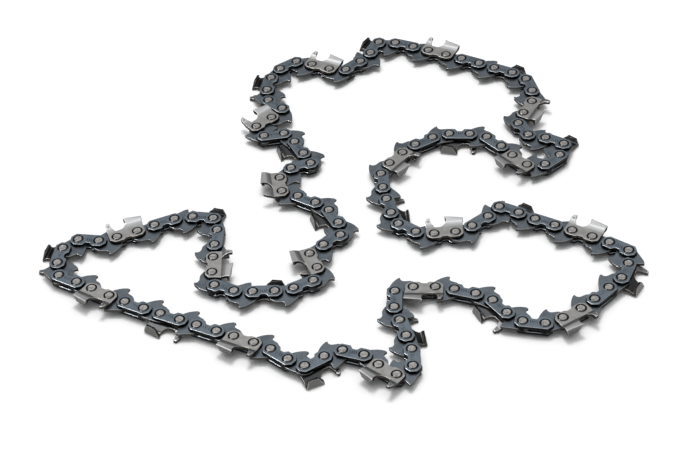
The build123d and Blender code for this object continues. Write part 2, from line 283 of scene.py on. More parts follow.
def bowed(a, b, rise, steps):
    """Points from a to b on an arc that rises to the left of its chord."""
    chord = b - a
    left = Vector((-chord.y, chord.x)).normalized()
    half = 2 * math.atan(2 * rise / chord.length)
    points = []
    for i in range(steps + 1):
        swing = half * (2 * i / steps - 1)
        along = 0.5 + math.sin(swing) / (2 * math.sin(half))
        lift = (math.cos(swing) - math.cos(half)) / (1 - math.cos(half)) * rise
        points.append(a + chord * along + left * lift)
    return points


def rounded(corners, radius):
    """The corners of a closed outline, each turned into a small curve."""
    points = []
    for i, corner in enumerate(corners):
        before, after = corners[i - 1] - corner, corners[(i + 1) % len(corners)] - corner
        turn = math.pi - before.angle(after)
        cut = min(radius * math.tan(turn / 2), EDGE_SHARE * before.length, EDGE_SHARE * after.length)
        start, end = corner + before.normalized() * cut, corner + after.normalized() * cut
        for k in range(ROUND_STEPS + 1):
            t = k / ROUND_STEPS
            points.append(start * (1 - t) ** 2 + corner * 2 * t * (1 - t) + end * t ** 2)
    return points


def rounded_between(corners, radius):
    """The same for a stretch of an outline, without its first and last corner."""
    return rounded(corners, radius)[ROUND_STEPS + 1:-ROUND_STEPS - 1]


def facets(sizes, x, degrees):
    """Corners of the eight-sided end about the rivet at x."""
    radius = sizes.height / 2 / math.cos(math.pi / 8)
    angles = [math.radians(d) for d in degrees]
    return [Vector((x + radius * math.cos(a), radius * math.sin(a))) for a in angles]


def waist(sizes, edge, depth):
    """The notch in a side plate's inner edge, from front to rear."""
    middle, mouth, floor = sizes.strap_spacing / 2, sizes.waist_mouth / 2, sizes.waist_floor / 2
    return [Vector((middle + mouth, edge)), Vector((middle + floor, edge - depth)),
            Vector((middle - floor, edge - depth)), Vector((middle - mouth, edge))]


def strap_outline(sizes):
    """A tie strap, counterclockwise."""
    ends = facets(sizes, 0, REAR_FACETS) + facets(sizes, sizes.strap_spacing, FRONT_FACETS)
    return rounded(ends + waist(sizes, sizes.height / 2, sizes.waist_depth), sizes.corner)


def drive_outline(sizes, drive, guard):
    """A drive link, counterclockwise, with a ramp outside on a guard link."""
    tip = Vector((drive.tang_tip, drive.tang_depth))
    crown = tip - Vector((drive.tang_crown, 0))
    notch = tip + Vector((drive.notch_width, -drive.notch_depth))
    shoulder = Vector((sizes.drive_spacing + drive.shoulder_front, notch.y - drive.shoulder_drop))
    toe = -drive.guard_toe if guard else -math.pi / 2
    nose = arc((sizes.drive_spacing, 0), drive.nose_radius, toe, 0, steps=5)
    rear = arc((0, 0), drive.end_radius, drive.tang_root, math.pi * 1.5, steps=9)
    ramp = []
    if guard:
        foot = Vector((drive.guard_step, rear[-1].y))
        behind = foot - Vector((drive.guard_step * GUARD_LEAN, 0))
        crest = Vector((drive.guard_step, -drive.guard_height))
        brow = crest + Vector((drive.guard_crest, drive.guard_fall))
        ramp = [foot] + rounded_between([behind, crest, brow, nose[0]], drive.guard_corner)
    front_edge = bowed(nose[-1], shoulder, -drive.shoulder_bulge, steps=5)
    hook = bowed(notch, tip, drive.notch_hollow, steps=5)
    tang = bowed(crown, rear[0], -drive.tang_bulge, steps=7)
    return rear + ramp + nose + front_edge[1:] + hook + tang[:-1]


def cutter_outline(sizes, cutter, bends):
    """A cutter as it is stamped flat, counterclockwise, with its outside towards -Y."""
    corner_height = (bends.marks[UNDER] + bends.marks[CORNER]) / 2
    edge_height, gauge_height = bends.marks[LIP], bends.gauge_marks[-1]
    slant = (edge_height - corner_height) * math.tan(cutter.top_angle)
    heel_low = Vector((cutter.heel_tuck - cutter.heel, -cutter.bend_height))
    heel_corner = Vector((-cutter.heel, -corner_height))
    heel_top = Vector((cutter.heel_slant - cutter.heel, -edge_height))
    edge = Vector((cutter.front - slant, -edge_height))
    corner = Vector((cutter.front, -corner_height))
    floor_rear = Vector((cutter.front + cutter.gullet_run, -cutter.bend_height))
    floor_front = floor_rear + Vector((cutter.gullet_floor, 0))
    gauge_front = sizes.strap_spacing + cutter.gauge_front
    tip_rear = Vector((gauge_front - cutter.gauge_length, -gauge_height))
    tip_front = tip_rear + Vector((cutter.gauge_tip, 0))
    brow = Vector((gauge_front, cutter.gauge_brow - gauge_height))
    gullet = bowed(corner, floor_rear, cutter.gullet_hollow, steps=11)
    horn = bowed(floor_front, tip_rear, cutter.gauge_hollow, steps=6)
    front = facets(sizes, sizes.strap_spacing, FRONT_FACETS[1:])
    rear = facets(sizes, 0, REAR_FACETS[:-1])
    narrower = cutter.foot_edge / (sizes.height / 2)
    for point in front + rear:
        point.y *= narrower if point.y > 0 else 1
    inner = front + waist(sizes, cutter.foot_edge, cutter.waist_depth) + rear
    gauge = rounded_between([tip_rear, tip_front, brow, inner[0]], sizes.corner)
    foot = rounded_between([brow] + inner + [heel_low], cutter.foot_corner)
    return gauge + foot + [heel_low, heel_corner, heel_top, edge] + gullet + horn


# Meshes

SHARPEST = 0.35                 # keeps the inset of a sharp corner short
SAME_POINT = 0.01 * MM          # points of an outline that are closer than this are one
TOUCHING = 0.001 * MM           # vertices that are closer than this are one
BEND_CUTS = {1: 3, 3: 3, 4: 3, 5: 6, 6: 3}      # cuts across the pieces of a cutter's path, by number
HEIGHT_DIGITS = 7               # cuts at heights that agree to these decimals are one
DISH = ((0.35, 1.0), (0.8, 0.6))    # hollow of a rivet's head, as shares of its radius and its depth
EDGE_OIL_AND_SHADE = 0.3                  # wall value on the edge of a rivet's head, where its ring of oil and painted shade begins


def inset(loop, distance):
    """A closed loop moved to its left, where its plate is."""
    moved = []
    for i, point in enumerate(loop):
        before = (point - loop[i - 1]).normalized()
        after = (loop[(i + 1) % len(loop)] - point).normalized()
        left_before, left_after = Vector((-before.y, before.x)), Vector((-after.y, after.x))
        stretch = max(SHARPEST, 1 + left_before.dot(left_after))
        moved.append(point + (left_before + left_after) * (distance / stretch))
    return moved


def cleaned(loop):
    """A loop without points that lie on their neighbours."""
    return [p for i, p in enumerate(loop) if (p - loop[i - 1]).length > SAME_POINT]


def walled():
    """A new bmesh whose vertices have a wall value."""
    bm = bmesh.new()
    bm.verts.layers.float.new("wall")
    return bm


def banded(bm, levels):
    """Rings of vertices, joined by bands of faces, from (points, height, wall value) each."""
    wall = bm.verts.layers.float["wall"]
    rings = []
    for points, z, share in levels:
        ring = [bm.verts.new((p.x, p.y, z)) for p in points]
        for vertex in ring:
            vertex[wall] = share
        rings.append(ring)
    for upper, lower in zip(rings, rings[1:]):
        for i in range(len(upper)):
            j = (i + 1) % len(upper)
            bm.faces.new((upper[i], lower[i], lower[j], upper[j]))
    return rings


def plate(sizes, outline, spacing, thickness, rim):
    """A flat plate with two holes and rounded rims. Its wall value is 0 on the faces, 1 on the sides."""
    bm = walled()
    holes = [(circle(x, sizes.hole, HOLE_STEPS)[::-1], sizes.hole_rim) for x in (0, spacing)]
    caps = ([], [])
    for loop, radius in [(cleaned(outline), rim)] + holes:
        levels = []
        for k in range(ROUND_STEPS + 1):
            swing = math.pi / 2 * k / ROUND_STEPS
            points = inset(loop, radius * (1 - math.sin(swing)))
            levels.append((points, thickness / 2 - radius * (1 - math.cos(swing)), k / ROUND_STEPS))
        rings = banded(bm, levels + [(points, -z, share) for points, z, share in reversed(levels)])
        for cap, ring in zip(caps, (rings[0], rings[-1])):
            cap += [bm.edges.get((ring[i - 1], ring[i])) for i in range(len(ring))]
    for edges, normal in zip(caps, ((0, 0, 1), (0, 0, -1))):
        for edge in edges:
            edge.smooth = False
        bmesh.ops.triangle_fill(bm, use_beauty=True, edges=edges, normal=normal)
    bmesh.ops.recalc_face_normals(bm, faces=bm.faces)
    return bm


def mark_flat(bm):
    """Writes each vertex's flat place, in millimetres, to the map that the finishes read."""
    flat = bm.loops.layers.uv.new("flat")
    for face in bm.faces:
        for loop in face.loops:
            loop[flat].uv = loop.vert.co.xy / MM


def finished(bm, name):
    """A smooth mesh, from its bmesh."""
    for face in bm.faces:
        face.smooth = True
    mesh = bpy.data.meshes.new(name)
    bm.to_mesh(mesh)
    bm.free()
    return mesh


def strap_mesh(sizes):
    """An upper tie strap."""
    bm = plate(sizes, strap_outline(sizes), sizes.strap_spacing, sizes.plate, sizes.rim)
    mark_flat(bm)
    bmesh.ops.translate(bm, vec=(0, 0, (sizes.gauge + sizes.plate) / 2 + sizes.side_play), verts=bm.verts)
    return finished(bm, "strap")


def drive_mesh(sizes, drive, guard):
    """A drive link."""
    bm = plate(sizes, drive_outline(sizes, drive, guard), sizes.drive_spacing, sizes.gauge, drive.rim)
    mark_flat(bm)
    return finished(bm, "drive_link")


def bent_path(corners, radii):
    """Straight and round pieces through corners, in turn: (start, corner, end, length) each."""
    pieces, here = [], corners[0]
    for before, corner, after, radius in zip(corners, corners[1:], corners[2:], radii):
        back, on = (before - corner).normalized(), (after - corner).normalized()
        inside = back.angle(on)
        cut = radius / math.tan(inside / 2)
        start, end = corner + back * cut, corner + on * cut
        pieces.append((here, None, start, (start - here).length))
        pieces.append((start, corner, end, radius * (math.pi - inside)))
        here = end
    pieces.append((here, None, corners[-1], (corners[-1] - here).length))
    return pieces


def on_piece(piece, share):
    """The point at a share of a straight or round piece."""
    start, corner, end, _ = piece
    if corner is None:
        return start.lerp(end, share)
    weight = math.sin((start - corner).angle(end - corner) / 2)
    a, b, c = (1 - share) ** 2, 2 * share * (1 - share) * weight, share ** 2
    return (start * a + corner * b + end * c) / (a + b + c)


class Bends:
    """Where a point of a cutter's flat plate goes when the plate is bent."""

    def __init__(self, sizes, cutter):
        self.cutter, self.thickness = cutter, sizes.plate
        self.inner = sizes.gauge / 2 + sizes.side_play
        self.outer = self.inner + sizes.plate
        self.split = cutter.front + cutter.gullet_run + cutter.gullet_floor / 2
        self.marks = self.flat_marks(self.blade(cutter.front)[1])
        self.gauge_marks = self.flat_marks(self.gauge()[1])

    @staticmethod
    def flat_marks(pieces):
        """Heights on the flat plate where the pieces of its path begin and end."""
        return [0.0] + list(np.cumsum([piece[3] for piece in pieces]))

    def stepped(self, side):
        """The first corners of the inner or outer path: foot and step."""
        cutter = self.cutter
        return [(side, 0), (side, cutter.bend_height), (side + cutter.set_out, cutter.set_height)]

    def blade(self, x):
        """Inner and outer path at x on the rear half: foot, step, side plate and top plate."""
        cutter = self.cutter
        back = (cutter.front - x) / (cutter.front + cutter.heel)
        reach = cutter.reach - back * cutter.heel_taper
        top = cutter.height - back * cutter.heel_fall
        under = top - cutter.top_plate
        inner, outer = self.stepped(self.inner), self.stepped(self.outer)
        lean = (reach - outer[-1][0]) / (top - cutter.set_height)
        inner += [(inner[-1][0] + lean * (under - cutter.set_height), under),
                  (-cutter.top_overhang, under - cutter.top_droop)]
        outer += [(reach, top), (-cutter.top_overhang, top - cutter.top_droop)]
        return self.pair(inner, outer, [cutter.inner_radius], [cutter.corner_radius])

    def gauge(self):
        """Inner and outer path on the front half: foot, step and depth gauge."""
        cutter = self.cutter
        share = (cutter.gauge_height - cutter.set_height) / (cutter.height - cutter.set_height)
        inner, outer = self.stepped(self.inner), self.stepped(self.outer)
        lean = (cutter.reach - outer[-1][0]) * share
        inner.append((inner[-1][0] + lean, cutter.gauge_height))
        outer.append((outer[-1][0] + lean, cutter.gauge_height))
        return self.pair(inner, outer, [], [])

    def pair(self, inner, outer, inner_corner, outer_corner):
        """The two paths, with the step's bends and the corner, if there is one, rounded."""
        step = [self.cutter.bend_radius] * 2
        return (bent_path([Vector(p) for p in inner], step + inner_corner),
                bent_path([Vector(p) for p in outer], step + outer_corner))

    def stations(self):
        """Heights at which the flat plate is cut across, so that it can bend there."""
        heights = list(self.gauge_marks[1:-1])
        for k, cuts in BEND_CUTS.items():
            start, end = self.marks[k], self.marks[k + 1]
            heights += [start + (end - start) * i / cuts for i in range(cuts + 1)]
        return sorted(set(round(h, HEIGHT_DIGITS) for h in heights))

    def place(self, co):
        """Where a vertex of the flat plate goes."""
        height = -co.y
        if height <= 0:
            return Vector((co.x, co.y, (self.inner + self.outer) / 2 + co.z))
        front = co.x > self.split
        paths, marks = (self.gauge(), self.gauge_marks) if front else (self.blade(co.x), self.marks)
        k = min(int(np.searchsorted(marks, height, side="right")) - 1, len(paths[0]) - 1)
        share = min(1.0, (height - marks[k]) / (marks[k + 1] - marks[k]))
        inner, outer = on_piece(paths[0][k], share), on_piece(paths[1][k], share)
        point = inner.lerp(outer, co.z / self.thickness + 0.5)
        return Vector((co.x, -point.y, point.x))


def cutter_mesh(sizes, cutter, bends, mirrored):
    """A cutter: stamped flat, cut across where it bends, bent, and mirrored for the right hand."""
    bm = plate(sizes, cutter_outline(sizes, cutter, bends), sizes.strap_spacing, sizes.plate, cutter.rim)
    for height in bends.stations():
        geometry = bm.verts[:] + bm.edges[:] + bm.faces[:]
        across = {"plane_co": (0, -height, 0), "plane_no": (0, 1, 0)}
        bmesh.ops.bisect_plane(bm, geom=geometry, dist=TOUCHING, **across)
    mark_flat(bm)
    inside = bm.verts.layers.float.new("inside")
    for vertex in bm.verts:
        vertex[inside] = 0.5 - vertex.co.z / sizes.plate
        vertex.co = bends.place(vertex.co)
        if mirrored:
            vertex.co.z = -vertex.co.z
    if mirrored:
        bmesh.ops.reverse_faces(bm, faces=bm.faces)
    return finished(bm, "cutter")


def rivet_mesh(sizes, rivet):
    """A rivet with a spun head at each end. Its wall value is 0 on the flats and 1 in the grooves."""
    outer = sizes.gauge / 2 + sizes.side_play + sizes.plate
    top, floor, soft = outer + rivet.head, outer - rivet.groove, rivet.edge
    profile = [(rivet.flat * out, top - rivet.dish * deep, 0) for out, deep in DISH]
    profile += [
        (rivet.flat - soft, top, 0), (rivet.flat, top - soft * 0.5, EDGE_OIL_AND_SHADE),
        (rivet.flat + soft, top - soft * 1.5, 1), (rivet.shank - soft * 2, floor, 1),
        (rivet.shank, floor, 1)]
    levels = [(circle(0, radius, rivet.sides), z, share) for radius, z, share in profile]
    bm = walled()
    rings = banded(bm, levels + [(points, -z, share) for points, z, share in reversed(levels)])
    bm.faces.new(rings[0])
    bm.faces.new(reversed(rings[-1]))
    mark_flat(bm)
    return finished(bm, "rivet")


# Places, read from the frame

GOLDEN = 0.618034               # step that spreads the links' seeds evenly over 0 to 1
NAME_STEP = 0.37                # step between the seeds of pieces, for each letter of their names


def rivet_places(node):
    """The axes of a node's rivets in plan, and the height of their middle."""
    bm = bmesh.new()
    bm.from_mesh(frame["nodes"][node].data)
    bmesh.ops.remove_doubles(bm, verts=bm.verts, dist=TOUCHING)
    low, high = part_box(node)
    done, places = set(), []
    for first in bm.verts:
        if first in done:
            continue
        done.add(first)
        island = [first]
        for vertex in island:   # the island grows while it is walked
            around = [edge.other_vert(vertex) for edge in vertex.link_edges]
            fresh = [v for v in around if v not in done]
            done.update(fresh)
            island += fresh
        rows = np.array([(2 * v.co.x, 2 * v.co.y, 1) for v in island])
        squares = np.array([v.co.x ** 2 + v.co.y ** 2 for v in island])
        x, y, _ = np.linalg.lstsq(rows, squares, rcond=None)[0]
        places.append(Vector((x, y, (low.z + high.z) / 2)))
    bm.free()
    return places


def running_order(sizes):
    """The rivets as (place, run) in running order, from the rear of a pair of side plates."""
    found = [(place, run) for run in RUN_NAMES for place in rivet_places(f"{run}_rivets")]
    order = [found.pop()]
    while found:
        reach = sizes.strap_spacing if len(order) % 2 else sizes.drive_spacing
        nearest = min(found, key=lambda f: abs((f[0] - order[-1][0]).length - reach))
        found.remove(nearest)
        order.append(nearest)
    turns = [a[0].x * b[0].y - b[0].x * a[0].y for a, b in zip(order, order[1:] + order[:1])]
    return order if sum(turns) > 0 else order[::-1]


def hung(rear, front):
    """The place of a link on two rivets."""
    along = front - rear
    return Matrix.Translation(rear) @ Matrix.Rotation(math.atan2(along.y, along.x), 4, "Z")


class Chain:
    """The loop: places for each kind of link by run, and each cutter's place by its node."""

    def __init__(self, sizes):
        order = running_order(sizes)
        count = len(order) // 2
        self.rivets = {run: [Matrix.Translation(p) for p, r in order if r == run] for run in RUN_NAMES}
        kinds = ("upper_straps", "lower_straps", "drive_links", "guard_links")
        self.places = {run: {kind: [] for kind in kinds} for run in RUN_NAMES}
        self.cutters = {}
        middles = [(order[2 * k][0] + order[2 * k + 1][0]) / 2 for k in range(count)]
        owners = {}
        for node in frame["nodes"]:
            if "_cutter_" in node:
                low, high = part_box(node)
                centre = (low + high) / 2
                owners[min(range(count), key=lambda k: (middles[k] - centre).xy.length)] = node
        for k in range(count):
            (rear, run), (front, _) = order[2 * k], order[2 * k + 1]
            after, next_run = order[(2 * k + 2) % len(order)]
            node = owners.get(k, "")
            if node:
                self.cutters[node] = (hung(rear, front), run)
            if not node.startswith("left"):
                self.places[run]["upper_straps"].append(hung(rear, front))
            if not node.startswith("right"):
                self.places[run]["lower_straps"].append(hung(rear, front))
            self.places[next_run]["guard_links" if node else "drive_links"].append(hung(front, after))


def gathered(name, master, places):
    """One object that holds a copy of a link at each place, with a seed of its own."""
    bm = bmesh.new()
    for matrix in places:
        first = len(bm.verts)
        bm.from_mesh(master)
        bm.verts.ensure_lookup_table()
        bmesh.ops.transform(bm, matrix=matrix, verts=bm.verts[first:])
    mesh = finished(bm, name)
    seeds = [(i * GOLDEN + len(name) * NAME_STEP) % 1 for i in range(len(places))]
    seed = mesh.attributes.new("seed", "FLOAT", "POINT")
    seed.data.foreach_set("value", np.repeat(np.array(seeds, np.float32), len(master.vertices)))
    piece = bpy.data.objects.new(name, mesh)
    bpy.context.scene.collection.objects.link(piece)
    return piece


def settled(piece, run, nodes, material):
    """Puts a piece on its run in place of its nodes, with its finish."""
    piece.data.materials.append(material)
    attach(piece, run)
    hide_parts(*nodes)


def hang(run, kind, master, places, finish):
    """Hangs one run's links of a kind, in place of their node."""
    node = f"{run}_{kind}"
    settled(gathered(f"dressed_{node}", master, places), run, [node], finish)


# Finishes. A range holds two values and, where these don't turn into 0 and 1, what they turn into

FLOAT, COLOUR = "NodeSocketFloat", "NodeSocketColor"
NOISE_RANGE = (0.3, 0.7)        # most values of a noise lie between these


class Nodes:
    """A node tree that is written one node at a time."""

    def __init__(self, tree):
        self.tree = tree

    def feed(self, node, inputs):
        """Sets a node's inputs, each to a value, a colour or another node's output."""
        for key, value in inputs.items():
            socket = node.inputs[key]
            if isinstance(value, bpy.types.NodeSocket):
                self.tree.links.new(value, socket)
            else:
                socket.default_value = (*value, 1) if socket.type == "RGBA" else value

    def add(self, kind, inputs=None, **settings):
        """A new node with its settings and inputs."""
        node = self.tree.nodes.new(kind)
        for name, value in settings.items():
            setattr(node, name, value)
        self.feed(node, inputs or {})
        return node

    def math(self, operation, a, b=0.0, c=0.0):
        """The result of a sum."""
        return self.add("ShaderNodeMath", {0: a, 1: b, 2: c}, operation=operation).outputs[0]

    def times(self, *factors):
        """The product of two values or more."""
        product = factors[0]
        for factor in factors[1:]:
            product = self.math("MULTIPLY", product, factor)
        return product

    def away(self, x, y):
        """The distance of a place from where x and y are 0."""
        return self.math("SQRT", self.math("MULTIPLY_ADD", x, x, self.times(y, y)))

    def attribute(self, name):
        """A value that the mesh carries."""
        return self.add("ShaderNodeAttribute", attribute_name=name).outputs["Fac"]

    def flat_map(self):
        """The place on the link as it was stamped flat, in millimetres."""
        return self.add("ShaderNodeUVMap", uv_map="flat").outputs["UV"]

    def flat(self):
        """The two coordinates of that place."""
        return self.add("ShaderNodeSeparateXYZ", {0: self.flat_map()}).outputs

    def ramp(self, value, low, high, start=0.0, end=1.0):
        """A value eased from one range to another."""
        inputs = {"Value": value, "From Min": low, "From Max": high, "To Min": start, "To Max": end}
        return self.add("ShaderNodeMapRange", inputs, interpolation_type="SMOOTHSTEP").outputs["Result"]

    def mix(self, share, a, b):
        """One colour over another."""
        return self.add("ShaderNodeMix", {"Factor": share, 6: a, 7: b}, data_type="RGBA").outputs[2]

    def noise(self, vector, scale, detail=3.0, w=None):
        """A noise that depends on place, and on a seed where one is given."""
        inputs = {"Vector": vector, "Scale": scale, "Detail": detail}
        if w is not None:
            inputs["W"] = w
        node = self.add("ShaderNodeTexNoise", inputs, noise_dimensions="3D" if w is None else "4D")
        return node.outputs["Fac"]


def group(name, inputs, outputs):
    """A new shader group with named sockets: its nodes, its inputs and its output node."""
    tree = bpy.data.node_groups.new(name, "ShaderNodeTree")
    for title, kind, value in inputs:
        tree.interface.new_socket(title, in_out="INPUT", socket_type=kind).default_value = value
    for title, kind in outputs:
        tree.interface.new_socket(title, in_out="OUTPUT", socket_type=kind)
    nodes = Nodes(tree)
    return nodes, nodes.add("NodeGroupInput").outputs, nodes.add("NodeGroupOutput")


# Wall values between which a rim brightens, by wear and painted highlight, and fades, and a side goes
# dark, by its own colour and on straps and cutter lips by painted shade
RIM_BRIGHTENS, RIM_FADES, SIDE_DARKENS = (0.02, 0.3), (0.45, 0.9, 1.0, 0.0), (0.5, 0.95)
WORN_SCALE, WORN_RANGE = 900.0, (0.35, 0.6, 0.7, 1.0)   # patches of a rim, and how far they are worn and lit by painted highlight


def edge_wear_and_highlight():
    """Group: a face's colour, lightened on the rims by wear and painted highlight, and darkened on the
    sheared sides, partly as painted shade.
    """
    nodes, given, out = group(
        "edge_wear_and_highlight",
        [("Face", COLOUR, (0.2, 0.2, 0.2, 1)), ("Rim", COLOUR, (0.6, 0.6, 0.6, 1)),
         ("Side", COLOUR, (0.02, 0.02, 0.02, 1)), ("Wear And Highlight", FLOAT, 0.8)],
        [("Color", COLOUR), ("Side Mask", FLOAT)])
    wall = nodes.attribute("wall")
    place = nodes.add("ShaderNodeTexCoord").outputs["Object"]
    patches = nodes.ramp(nodes.noise(place, WORN_SCALE), *WORN_RANGE)
    rise, fall = nodes.ramp(wall, *RIM_BRIGHTENS), nodes.ramp(wall, *RIM_FADES)
    rim = nodes.times(rise, fall, patches, given["Wear And Highlight"])
    side = nodes.ramp(wall, *SIDE_DARKENS)
    worn_and_highlit = nodes.mix(rim, given["Face"], given["Rim"])
    nodes.feed(out, {"Color": nodes.mix(side, worn_and_highlit, given["Side"]), "Side Mask": side})
    return nodes.tree


GRAIN_DETAIL = 4.0              # layers of the noise in grain and clouds


def metal_grain():
    """Group: fine grain, broad cloudiness and a shade for each link."""
    nodes, given, out = group(
        "metal_grain",
        [("Grain Size", FLOAT, 4000.0), ("Cloud Size", FLOAT, 220.0)],
        [("Grain", FLOAT), ("Cloud", FLOAT), ("Shade", FLOAT)])
    place = nodes.add("ShaderNodeTexCoord").outputs["Object"]
    cloud = nodes.noise(place, given["Cloud Size"], GRAIN_DETAIL)
    nodes.feed(out, {
        "Grain": nodes.noise(place, given["Grain Size"], GRAIN_DETAIL),
        "Cloud": nodes.ramp(cloud, *NOISE_RANGE),
        "Shade": nodes.attribute("seed")})
    return nodes.tree


def oil_and_shade_ring():
    """Group: a mask for the oil and painted shade round the two rivets of a link, from its flat map."""
    nodes, given, out = group(
        "oil_and_shade_ring",
        [("Spacing", FLOAT, 10.2), ("Inner", FLOAT, 2.6), ("Outer", FLOAT, 2.8)],
        [("Mask", FLOAT)])
    flat = nodes.flat()
    half = nodes.times(given["Spacing"], 0.5)
    across = nodes.math("ABSOLUTE", nodes.math("SUBTRACT", flat["X"], half))
    away = nodes.away(nodes.math("SUBTRACT", across, half), flat["Y"])
    nodes.feed(out, {"Mask": nodes.ramp(away, given["Inner"], given["Outer"], 1.0, 0.0)})
    return nodes.tree


STROKE_SLANT = 0.25             # how far a stroke leans, across for each millimetre up
STROKE_WIDTH = (0.1, 0.24, 1.0, 0.0)    # half a stroke with its soft edge, in steps of the row
STROKE_ENDS = (0.0, 0.1, 1.0, 0.0)      # soft ends of the row and of each stroke, in millimetres
STROKE_WEAR = (0.38, 0.5)       # noise values between which the strokes appear
STROKE_WEAR_SCALE, STROKE_WEAR_DETAIL, STROKE_SEEDS = 0.9, 2.0, 60.0


def stamped_strokes():
    """Group: a mask for a short row of slanted strokes, stamped between the rivets of a strap."""
    nodes, given, out = group(
        "stamped_strokes",
        [("Spacing", FLOAT, 10.2), ("Row", FLOAT, 1.9), ("Height", FLOAT, 0.85), ("Step", FLOAT, 1.0)],
        [("Mask", FLOAT)])
    flat = nodes.flat()
    along = nodes.math("MULTIPLY_ADD", given["Spacing"], -0.5, flat["X"])
    slanted = nodes.math("MULTIPLY_ADD", flat["Y"], STROKE_SLANT, along)
    turn = nodes.math("FRACT", nodes.math("DIVIDE", slanted, given["Step"]))
    stroke = nodes.ramp(nodes.math("ABSOLUTE", nodes.math("SUBTRACT", turn, 0.5)), *STROKE_WIDTH)
    past_row = nodes.math("SUBTRACT", nodes.math("ABSOLUTE", along), given["Row"])
    past_height = nodes.math("SUBTRACT", nodes.math("ABSOLUTE", flat["Y"]), given["Height"])
    seed = nodes.times(nodes.attribute("seed"), STROKE_SEEDS)
    patches = nodes.noise(nodes.flat_map(), STROKE_WEAR_SCALE, STROKE_WEAR_DETAIL, seed)
    nodes.feed(out, {"Mask": nodes.times(
        stroke, nodes.ramp(past_row, *STROKE_ENDS), nodes.ramp(past_height, *STROKE_ENDS),
        nodes.ramp(patches, *STROKE_WEAR))})
    return nodes.tree


def material(name):
    """A new material: itself, its nodes and its shader."""
    made = bpy.data.materials.new(name)
    made.use_nodes = True
    return made, Nodes(made.node_tree), made.node_tree.nodes["Principled BSDF"]


def effect(nodes, make, inputs):
    """The outputs of a shared group, which is made the first time that a material asks for it."""
    tree = bpy.data.node_groups.get(make.__name__) or make()
    return nodes.add("ShaderNodeGroup", inputs, node_tree=tree).outputs


def bumped(nodes, height, depth):
    """A normal with a relief of that depth."""
    bump = nodes.add("ShaderNodeBump", {"Height": height, "Distance": depth, "Strength": 1.0})
    return bump.outputs["Normal"]


RELIEF = 0.012 * MM             # depth of the grain on plates
SIDE_ROUGH = 0.2                # how much rougher a sheared side is than a face
OIL_GLOSS = 0.2                 # how much the oil film mirrors, with 0.5 for plain oil
OIL_AND_SHADE_REACH = {"strap": (2.6, 2.8), "drive": (3.9, 4.3)}  # where the oil and painted shade round a rivet end, in mm; on a drive link it is painted shade along the straps' edges
LINK_GRAIN = {"Grain Size": 5200.0, "Cloud Size": 260.0}
LINK_CLOUDS = (0.0, 1.0, 0.3, 0.8)      # strength of the clouds, from the lightest link to the darkest
LINK_SPECKS = (0.52, 0.75, 0.0, 0.22)   # grain that shows as light specks, and how light
# LINK_WEAR_AND_HIGHLIGHT: how strongly the rims are lightened, by wear and painted highlight.
LINK_WEAR_AND_HIGHLIGHT, LINK_METAL, LINK_ROUGH = 0.9, 0.9, (0.26, 0.38)
LINK_OIL_AND_SHADE, STROKE_OIL = 0.97, 0.85       # how dark the oil and painted shade are round the rivets, and the oil in the strokes
STROKE_DEPTH = 4.0              # depth of the strokes, with 1 for the grain's


def link_finish(colours, kind, spacing, stamped):
    """Blued steel: cloudy blue-grey faces, rims lightened by wear and painted highlight, dark sides (on
    the straps partly painted shade), and oil with painted shade round the rivets.
    """
    made, nodes, shader = material(f"blued_{kind}")
    # On the straps the side colour is partly painted shade.
    light, dark, side = (getattr(colours, f"{kind}_{part}") for part in ("face", "dark", "side"))
    grain = effect(nodes, metal_grain, LINK_GRAIN)
    inner, outer = OIL_AND_SHADE_REACH[kind]
    # Oil and painted shade round the rivets.
    oil = effect(nodes, oil_and_shade_ring, {"Spacing": spacing, "Inner": inner, "Outer": outer})["Mask"]
    relief = grain["Grain"]
    if stamped:
        strokes = effect(nodes, stamped_strokes, {"Spacing": spacing})["Mask"]
        oil = nodes.math("MAXIMUM", oil, nodes.times(strokes, STROKE_OIL))
        relief = nodes.math("MULTIPLY_ADD", strokes, -STROKE_DEPTH, relief)
    clouds = nodes.times(grain["Cloud"], nodes.ramp(grain["Shade"], *LINK_CLOUDS))
    specks = nodes.ramp(grain["Grain"], *LINK_SPECKS)
    face = nodes.mix(specks, nodes.mix(clouds, light, dark), colours.link_rim)
    # Rims lightened by wear and painted highlight, sides darkened.
    edge = effect(nodes, edge_wear_and_highlight, {
        "Face": face, "Rim": colours.link_rim, "Side": side, "Wear And Highlight": LINK_WEAR_AND_HIGHLIGHT})
    rough = nodes.ramp(grain["Grain"], *NOISE_RANGE, *LINK_ROUGH)
    nodes.feed(shader, {
        "Base Color": nodes.mix(nodes.times(oil, LINK_OIL_AND_SHADE), edge["Color"], colours.oil),
        "Roughness": nodes.math("MULTIPLY_ADD", edge["Side Mask"], SIDE_ROUGH, rough),
        "Metallic": LINK_METAL,
        "Specular IOR Level": OIL_GLOSS,
        "Normal": bumped(nodes, relief, RELIEF)})
    return made


CUTTER_GRAIN = {"Grain Size": 4200.0, "Cloud Size": 300.0}
# CUTTER_WEAR_AND_HIGHLIGHT: how strongly the rims are lightened, by wear and painted highlight;
# CUTTER_OIL_AND_SHADE: how dark the oil and painted shade round the rivets and the punch mark are.
CUTTER_WEAR_AND_HIGHLIGHT, CUTTER_ROUGH, CUTTER_OIL_AND_SHADE = 0.85, (0.44, 0.56), 0.9
CUTTER_CLOUDS = 0.25            # strength of the clouds on the foot
STEP_BLEND = 0.4                # where the foot's satin ends, in millimetres past the start of the step
STEP_GLOSS = 0.1                # how much smoother the plate is from there on
GROUND_START = 0.6              # where the ground side plate starts, past the start of the step
TOP_BLEND = (-0.1, 0.2)         # where the dull top, darkened as painted shade, starts, from the corner on
LIP_BLEND = (-0.35, -0.2)       # where the painted shade of the lip starts, from the inner edge of the top plate back
HIGHLIGHT_STRIP_START, HIGHLIGHT_STRIP_END = (-1.2, -0.9), (-0.2, 0.0, 1.0, 0.0)    # painted highlight: a light strip inside, below the corner
